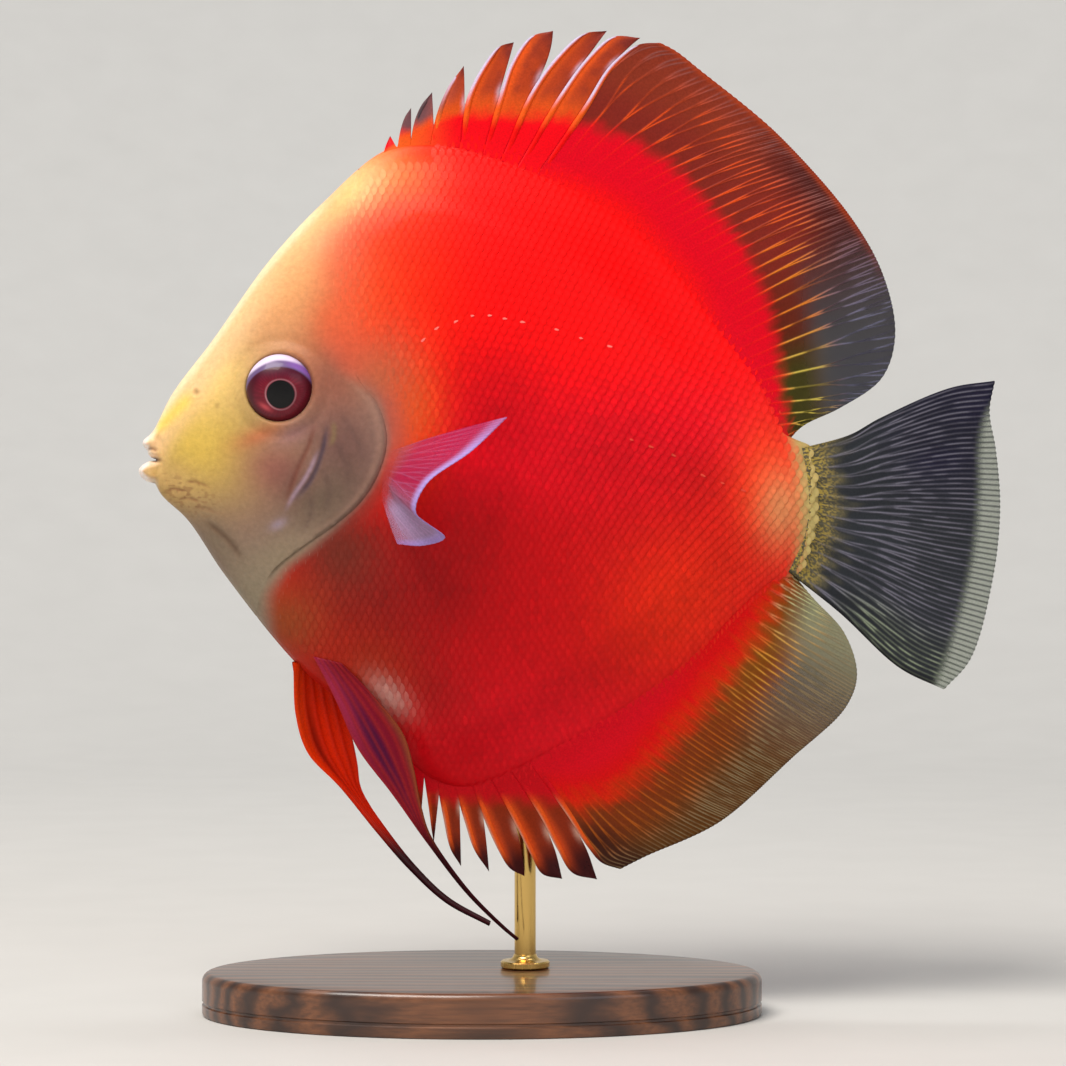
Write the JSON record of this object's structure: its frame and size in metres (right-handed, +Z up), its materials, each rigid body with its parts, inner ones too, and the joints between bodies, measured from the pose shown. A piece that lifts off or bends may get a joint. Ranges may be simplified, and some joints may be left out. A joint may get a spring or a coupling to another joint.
{
  "type": "discus fish display model",
  "caption": "Life-size still model of a red discus fish with spread fins, held over an oval plinth by one short rod.",
  "frame": {"origin": "centre of the plinth's underside", "axes": "+Z up, the fish faces -X and shows its left flank to -Y"},
  "size_m": [0.1607, 0.062, 0.1834],
  "materials": {
    "skin": "scarlet scaled skin under a wet gloss, pale yellow to pink on the head",
    "lips": "pale, soft, moist lips",
    "eyes": "wine red iris round a black pupil under a clear bulging cornea",
    "median_fins": "crimson fin sheath passing to a thin brown and smoky membrane over orange rays",
    "tail_fin": "thin smoky grey membrane over pale branched rays, clear at its hind edge",
    "breast_fins": "thin see-through lilac membrane over fine rays",
    "belly_fins": "orange red to dark wine red rays and membrane, drawn out to a thread",
    "plinth": "dark walnut under clear lacquer",
    "rod": "polished brass"
  },
  "bodies": {
    "root": {"head": "skin", "gill_cover_left": "skin", "gill_cover_right": "skin", "torso": "skin", "tail_stalk": "skin", "upper_lip": "lips", "lower_lip": "lips", "eye_left": "eyes", "eye_right": "eyes", "dorsal_fin": "median_fins", "anal_fin": "median_fins", "caudal_fin": "tail_fin", "pectoral_fin_left": "breast_fins", "pectoral_fin_right": "breast_fins", "pelvic_fin_left": "belly_fins", "pelvic_fin_right": "belly_fins", "stand_base": "plinth", "stand_rod": "rod"}
  },
  "joints": []
}
